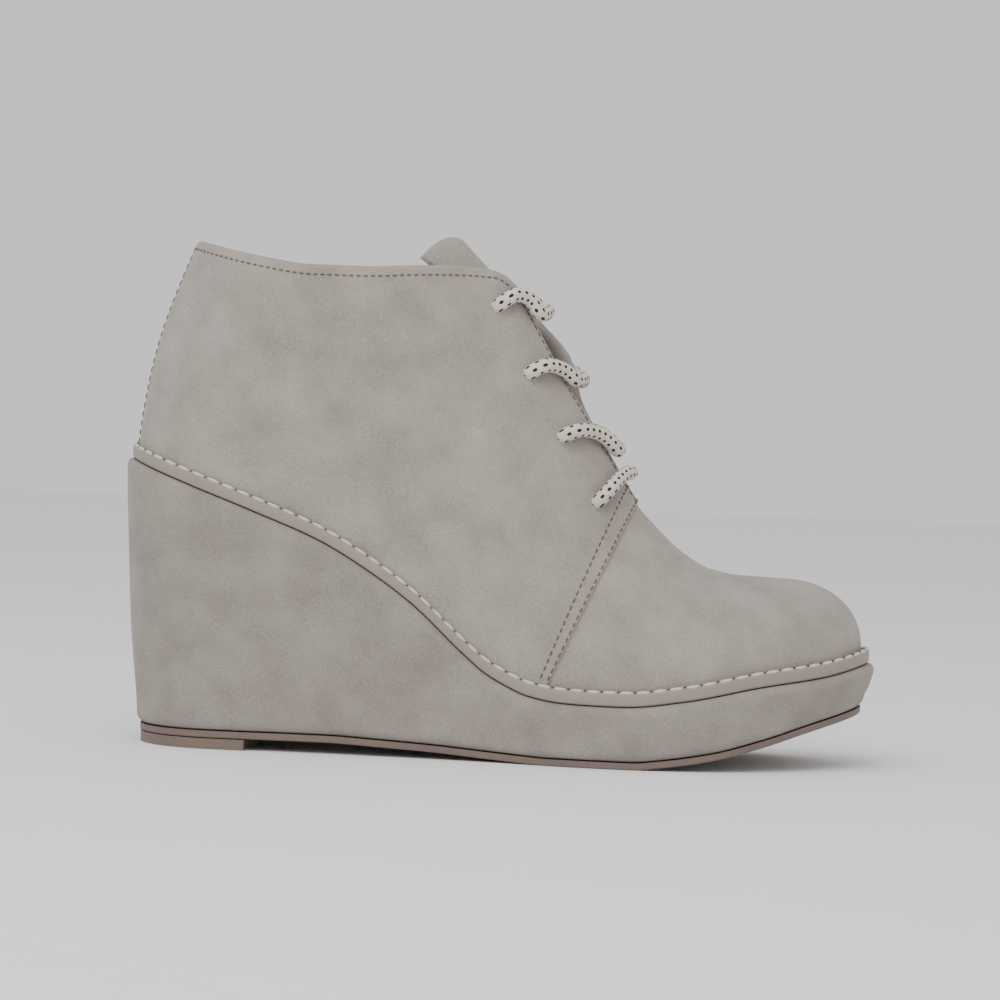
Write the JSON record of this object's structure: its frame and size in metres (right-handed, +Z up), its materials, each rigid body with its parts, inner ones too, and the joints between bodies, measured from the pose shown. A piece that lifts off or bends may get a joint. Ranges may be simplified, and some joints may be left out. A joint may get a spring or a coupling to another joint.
{
  "type": "wedge ankle boot",
  "caption": "Lace-up ankle boot in taupe microsuede on a high covered wedge with a platform, round toe, stitched welt and thin outsole.",
  "frame": {"origin": "middle of the heel lug's flat face, on the floor", "axes": "+X from heel to toe, +Y to the inner side of the foot, +Z up"},
  "size_m": [0.2567, 0.0907, 0.1745],
  "materials": {
    "outsole": "matt brown-taupe rubber",
    "cover": "taupe-grey microsuede, short nap",
    "welt": "smooth satin taupe strip",
    "insole": "matt sock lining",
    "upper": "taupe-grey microsuede, short nap",
    "lace": "round braid, cream with dark flecks"
  },
  "bodies": {
    "root": {"outsole": "outsole", "heel_lug": "outsole", "wedge_cover": "cover", "welt": "welt", "insole": "insole", "upper": "upper", "tongue": "upper", "lace_1": "lace", "lace_2": "lace", "lace_3": "lace", "lace_4": "lace"}
  },
  "joints": []
}
